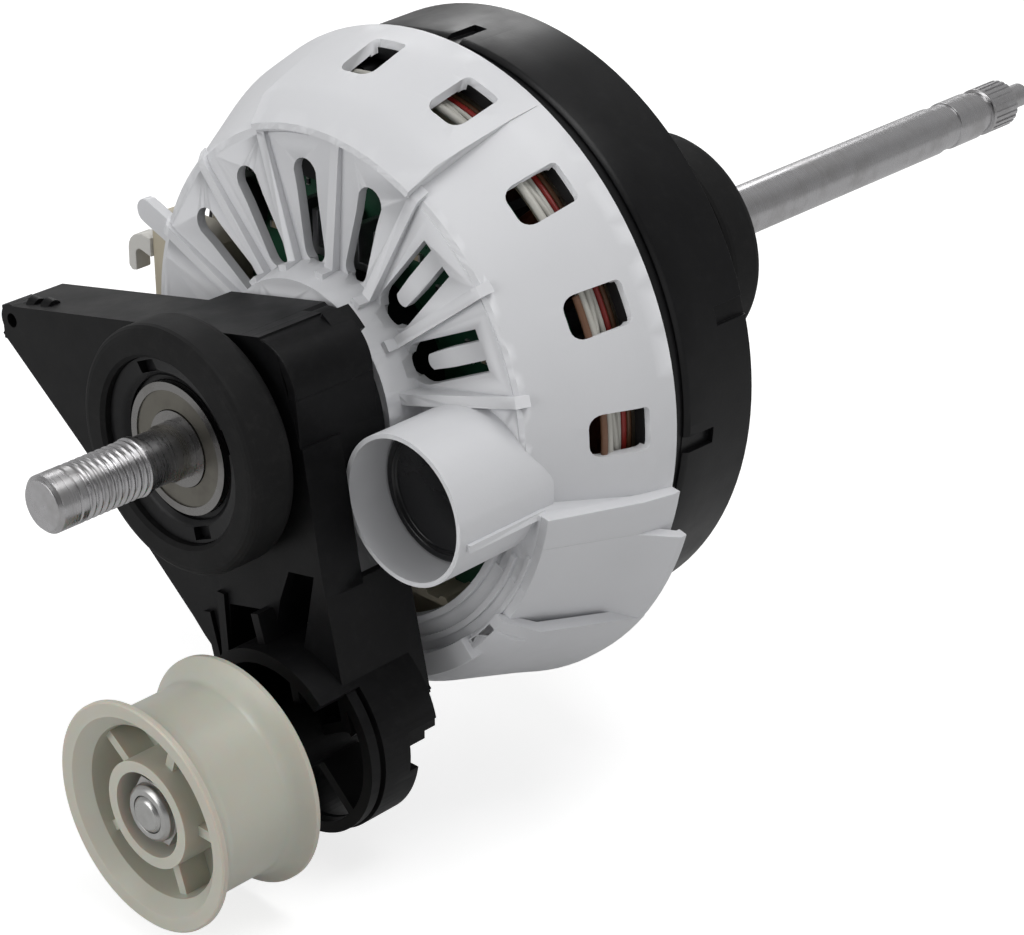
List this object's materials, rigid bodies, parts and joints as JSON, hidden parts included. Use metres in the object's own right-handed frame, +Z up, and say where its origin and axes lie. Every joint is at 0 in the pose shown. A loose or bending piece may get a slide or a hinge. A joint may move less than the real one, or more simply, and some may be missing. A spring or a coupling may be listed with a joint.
{
  "type": "tumble dryer drive motor",
  "caption": "Belt drive motor of a tumble dryer with its circuit board, a grooved belt shaft, rubber mounting rings and a swinging lever with an idler roller",
  "frame": {"origin": "on the shaft's axis at the front face of the front bearing, inside the front rubber ring", "axes": "+Y runs along the shaft from the grooved belt end to the fan end, +Z is up, +X is the side with the capacitor tube"},
  "size_m": [0.1423, 0.3202, 0.1545],
  "materials": {
    "white_shell": "satin moulded plastic",
    "black_shell": "satin glass-filled plastic",
    "lever_plastic": "satin glass-filled plastic",
    "ring_rubber": "matt soft rubber",
    "lamination": "stacked sheet, dull",
    "beige_plastic": "matt moulded plastic",
    "pale_plastic": "matt moulded plastic",
    "red_enamel": "enamelled wire",
    "green_board": "solder-resist gloss",
    "dark_parts": "moulded component cases",
    "heat_sink": "plain extruded",
    "capacitor_case": "shrink sleeve",
    "bright_steel": "ground and turned",
    "shield_steel": "pressed sheet",
    "ferrite": "dull ferrite",
    "zinc_steel": "zinc plated",
    "sleeve_bronze": "sintered, dull",
    "natural_nylon": "translucent natural nylon"
  },
  "bodies": {
    "motor": {"front_cover": "white_shell", "rear_housing": "black_shell", "neck_carrier": "black_shell", "front_ring_holder": "black_shell", "front_rubber_ring": "ring_rubber", "rear_ring_holder": "black_shell", "rear_rubber_ring": "ring_rubber", "stator_core": "lamination", "front_insulator": "beige_plastic", "rear_insulator": "beige_plastic", "windings": "red_enamel", "phase_wires": "red_enamel", "circuit_board": "green_board", "board_chips": "dark_parts", "heat_sink": "heat_sink", "board_chokes": "dark_parts", "capacitor": "capacitor_case", "connector_block": "beige_plastic", "cord_hook": "pale_plastic", "terminal_tray": "beige_plastic", "carrier_screws": "bright_steel", "front_bearing_outer": "bright_steel", "front_bearing_shields": "shield_steel", "rear_bearing_outer": "bright_steel", "rear_bearing_shields": "shield_steel", "wave_washer": "bright_steel"},
    "rotor": {"shaft": "bright_steel", "rotor_core": "lamination", "rotor_magnets": "ferrite", "rotor_end_rings": "heat_sink", "front_bearing_inner": "bright_steel", "rear_bearing_inner": "bright_steel"},
    "front_cage": {"front_bearing_balls": "bright_steel"},
    "rear_cage": {"rear_bearing_balls": "bright_steel"},
    "lever": {"tension_lever": "lever_plastic", "roller_bolt": "zinc_steel", "roller_sleeve": "sleeve_bronze", "roller_washer": "zinc_steel", "roller_nut": "zinc_steel"},
    "roller": {"idler_roller": "natural_nylon"}
  },
  "joints": [
    {"name": "rotor_spin", "type": "hinge", "parent": "motor", "child": "rotor", "pos_m": [0, 0, 0], "axis": [0, 1, 0], "continuous": true},
    {"name": "front_cage_spin", "type": "hinge", "parent": "motor", "child": "front_cage", "pos_m": [0, 0.004, 0], "axis": [0, 1, 0], "continuous": true},
    {"name": "rear_cage_spin", "type": "hinge", "parent": "motor", "child": "rear_cage", "pos_m": [0, 0.1435, 0], "axis": [0, 1, 0], "continuous": true},
    {"name": "lever_swing", "type": "hinge", "parent": "motor", "child": "lever", "pos_m": [0, 0.02, 0], "axis": [0, 1, 0], "range_deg": [-6, 12]},
    {"name": "roller_spin", "type": "hinge", "parent": "lever", "child": "roller", "pos_m": [0.0223, -0.02, -0.06127], "axis": [0, 1, 0], "continuous": true}
  ],
  "couplings": [
    {"joint": "front_cage_spin", "follows": "rotor_spin", "ratio": 0.383},
    {"joint": "rear_cage_spin", "follows": "rotor_spin", "ratio": 0.383}
  ]
}
